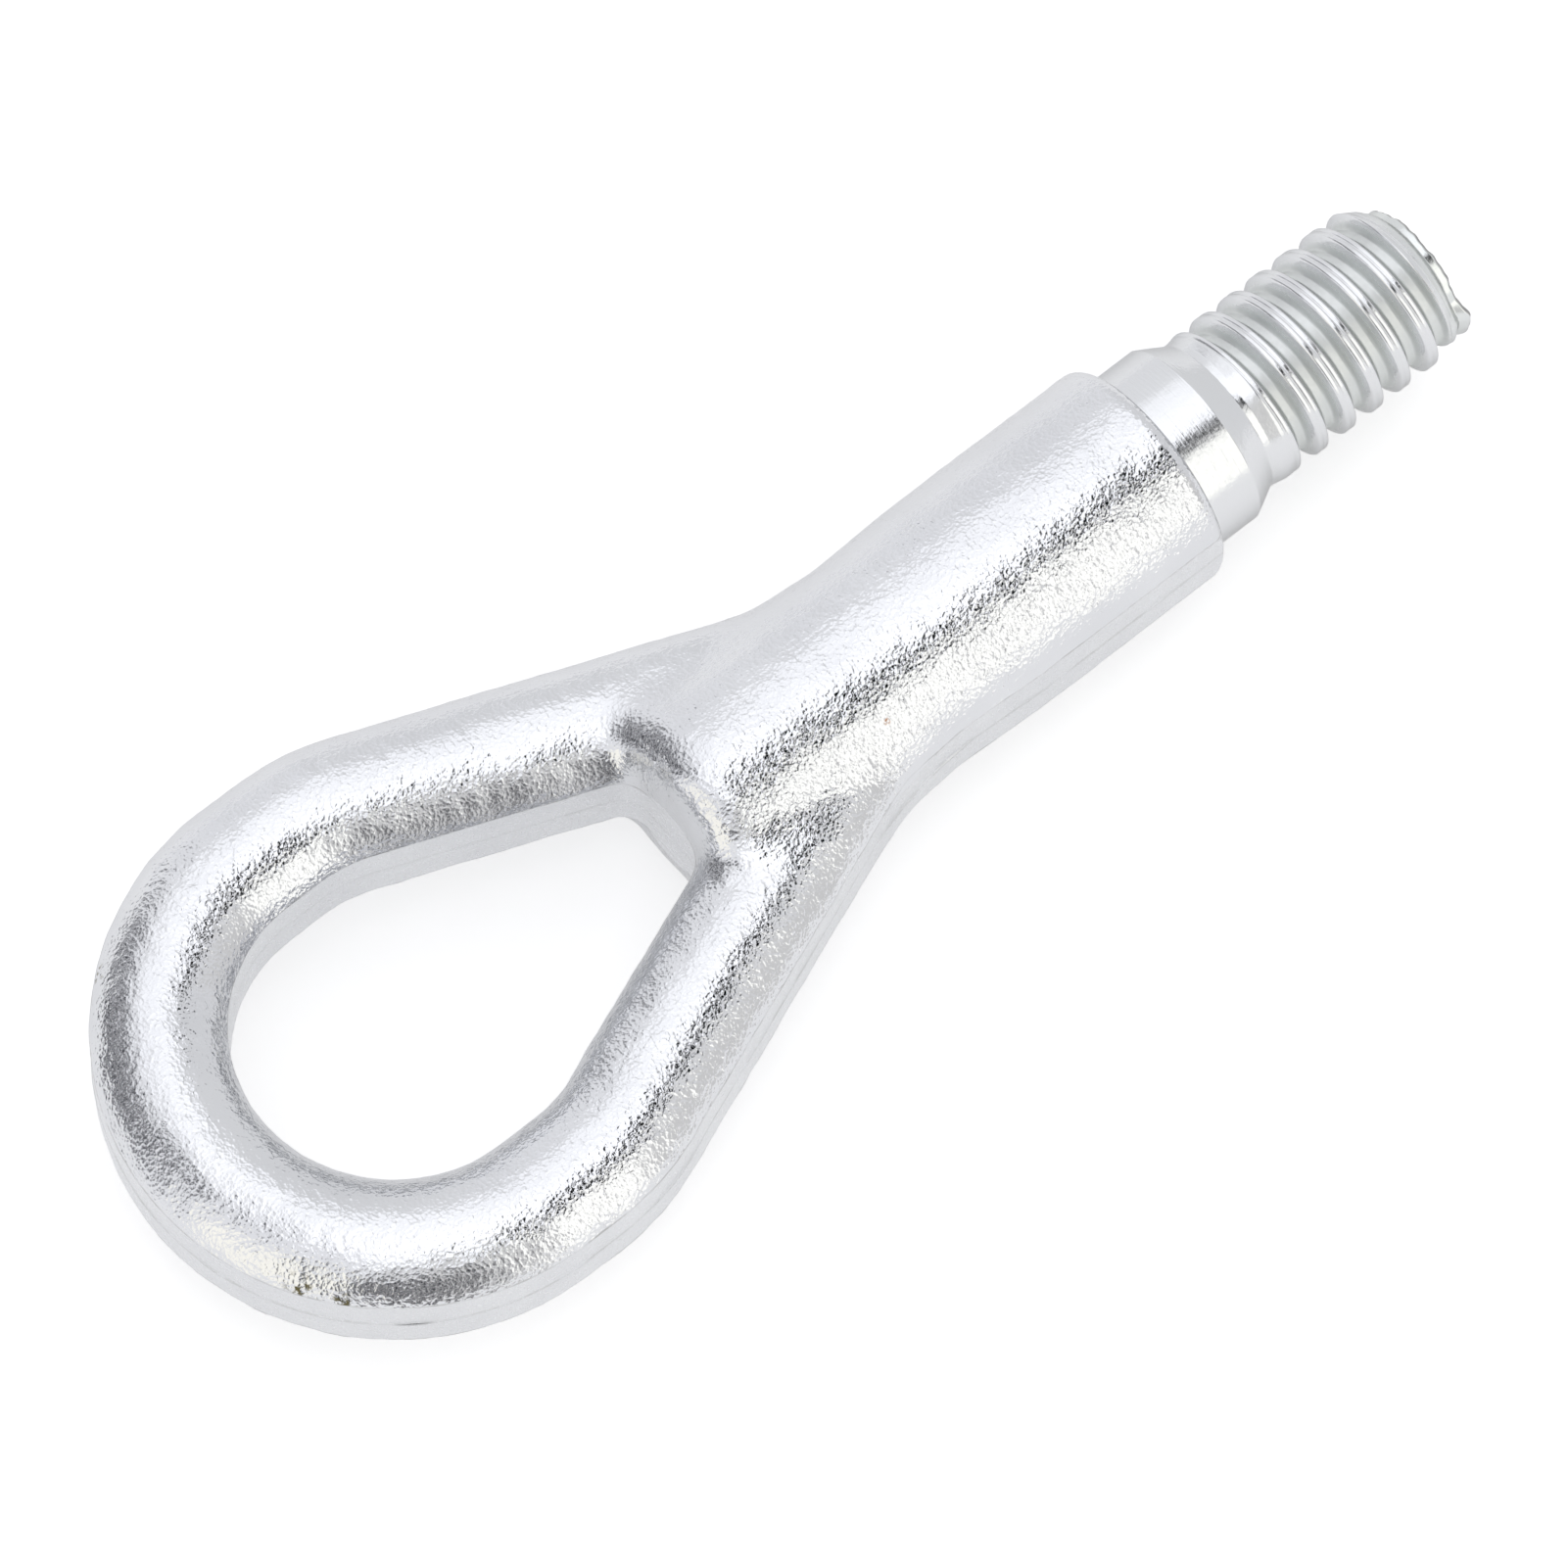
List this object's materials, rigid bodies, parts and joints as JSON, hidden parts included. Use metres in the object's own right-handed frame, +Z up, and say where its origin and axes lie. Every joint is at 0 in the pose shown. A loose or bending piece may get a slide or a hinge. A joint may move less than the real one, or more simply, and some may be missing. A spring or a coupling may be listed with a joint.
{
  "type": "screw-in tow eye",
  "caption": "Forged steel tow eye with a teardrop loop, a round shank, a turned collar and a rolled thread; it screws into a vehicle's towing socket.",
  "frame": {"origin": "centre of the shoulder face at the end of the shank, where the turned collar starts", "axes": "+X along the shank to the threaded tip, the eye lies in the XY plane on the -X side, +Z up"},
  "size_m": [0.179, 0.066, 0.0274],
  "materials": {
    "zinc_plated_steel": "bright zinc plate on a forged skin"
  },
  "bodies": {
    "root": {"tow_eye": "zinc_plated_steel"}
  },
  "joints": []
}
